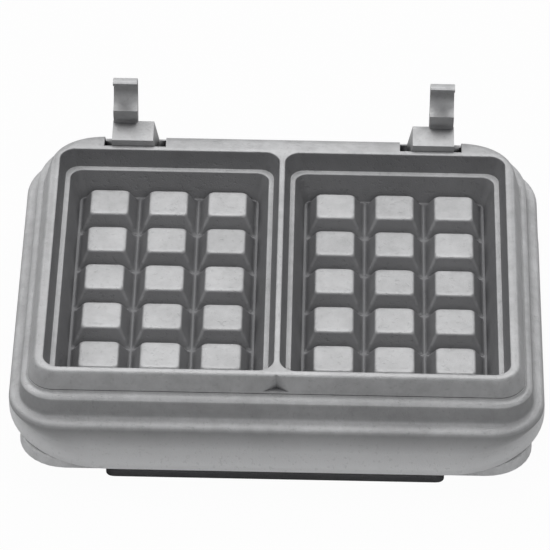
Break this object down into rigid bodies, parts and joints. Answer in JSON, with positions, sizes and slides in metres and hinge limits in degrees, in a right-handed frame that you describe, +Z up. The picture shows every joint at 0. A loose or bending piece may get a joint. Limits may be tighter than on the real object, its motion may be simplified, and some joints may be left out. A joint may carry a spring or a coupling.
{
  "type": "stovetop waffle iron",
  "caption": "Lower half of a cast stovetop waffle iron: two studded baking wells in a stepped skirt, with open hinge claws at the back and a base frame that it lifts off.",
  "frame": {"origin": "on the hob, under the middle of the outline seen from above", "axes": "+Z up, -Y towards the cook, +Y towards the hinge claws, +X to the cook's right"},
  "size_m": [0.301, 0.247, 0.1044],
  "materials": {
    "cast_aluminium": "sand-cast, bare, worn brighter on the edges",
    "base_casting": "lighter bare casting",
    "contact_iron": "dark, heat-stained",
    "zinc_steel": "zinc plated"
  },
  "bodies": {
    "base": {"base_frame": "base_casting", "contact_plate": "contact_iron", "contact_screw_1": "zinc_steel", "contact_screw_2": "zinc_steel", "contact_screw_3": "zinc_steel", "contact_screw_4": "zinc_steel", "locating_pin_1": "zinc_steel", "locating_pin_2": "zinc_steel"},
    "iron": {"baking_plate": "cast_aluminium", "outer_skirt": "cast_aluminium", "hinge_claw_left": "cast_aluminium", "hinge_claw_right": "cast_aluminium", "plate_screw_1": "zinc_steel", "plate_screw_2": "zinc_steel", "plate_screw_3": "zinc_steel", "plate_screw_4": "zinc_steel", "plate_screw_5": "zinc_steel", "plate_screw_6": "zinc_steel", "plate_screw_7": "zinc_steel", "plate_screw_8": "zinc_steel", "claw_bolt_1": "zinc_steel", "claw_bolt_2": "zinc_steel", "claw_bolt_3": "zinc_steel", "claw_bolt_4": "zinc_steel"}
  },
  "joints": [
    {"name": "iron_lift", "type": "slide", "parent": "base", "child": "iron", "axis": [0, 0, 1], "range_m": [0, 0.025]}
  ]
}
